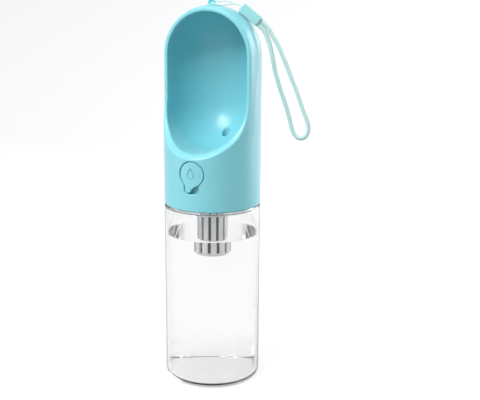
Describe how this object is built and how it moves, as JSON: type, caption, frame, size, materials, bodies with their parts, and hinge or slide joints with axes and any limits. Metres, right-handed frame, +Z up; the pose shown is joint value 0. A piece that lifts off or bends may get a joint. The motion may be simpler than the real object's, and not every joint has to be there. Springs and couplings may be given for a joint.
{
  "type": "dog travel water bottle",
  "caption": "Clear travel water bottle for dogs with a screw-on turquoise head: scooped drinking bowl, press button that turns to lock, carbon filter and wrist strap.",
  "frame": {"origin": "centre of the base ring on the surface the bottle stands on", "axes": "+Z up along the bottle, bowl and button face -Y"},
  "size_m": [0.0967, 0.066, 0.2627],
  "materials": {
    "clear_plastic": "clear moulded copolyester, polished",
    "turquoise_plastic": "satin moulded plastic",
    "button_plastic": "satin moulded plastic",
    "collar_plastic": "moulded plastic",
    "clamp_plastic": "satin moulded plastic",
    "milk_plastic": "moulded plastic",
    "filter_plastic": "moulded plastic",
    "carbon": "pressed carbon grain",
    "silicone": "food grade silicone",
    "black_rubber": "o-ring rubber",
    "steel": "stainless",
    "braided_cord": "braided cord",
    "string_fabric": "thin twisted string"
  },
  "bodies": {
    "bottle": {"bottle": "clear_plastic"},
    "gasket": {"neck_gasket": "silicone"},
    "head": {"head_shell": "turquoise_plastic", "screw_collar": "collar_plastic", "valve_body": "milk_plastic", "inlet_seal": "silicone", "valve_screws": "steel", "valve_plug": "milk_plastic", "outlet_hose": "silicone", "vent_valve": "silicone", "stem_o_ring": "black_rubber", "filter_o_ring": "black_rubber", "button_spring": "steel", "strap_string": "string_fabric", "strap_clamp": "clamp_plastic", "strap_cord": "braided_cord"},
    "plunger": {"valve_stem": "milk_plastic", "valve_disc": "silicone", "stem_clip": "steel"},
    "button": {"button_cap": "button_plastic"},
    "filter": {"filter_cap": "filter_plastic", "filter_cage": "filter_plastic", "carbon_core": "carbon", "filter_mesh": "steel"}
  },
  "joints": [
    {"name": "head_lift", "type": "slide", "parent": "bottle", "child": "gasket", "axis": [0, 0, 1], "range_m": [0, 0.0027]},
    {"name": "head_turn", "type": "hinge", "parent": "gasket", "child": "head", "pos_m": [0, 0, 0.1246], "axis": [0, 0, 1], "range_deg": [0, 300]},
    {"name": "button_press", "type": "slide", "parent": "head", "child": "plunger", "axis": [0, 1, 0], "range_m": [0, 0.0017], "stiffness_N_per_m": 400, "springref_m": -0.004, "deforming": ["button_spring"]},
    {"name": "button_twist", "type": "hinge", "parent": "plunger", "child": "button", "pos_m": [0, -0.031, 0.15], "axis": [0, -1, 0], "range_deg": [0, 28]},
    {"name": "filter_pull", "type": "slide", "parent": "head", "child": "filter", "axis": [0, 0, -1], "range_m": [0, 0.012]}
  ],
  "couplings": [
    {"joint": "head_lift", "follows": "head_turn", "m_per_rad": 0.0005093}
  ]
}
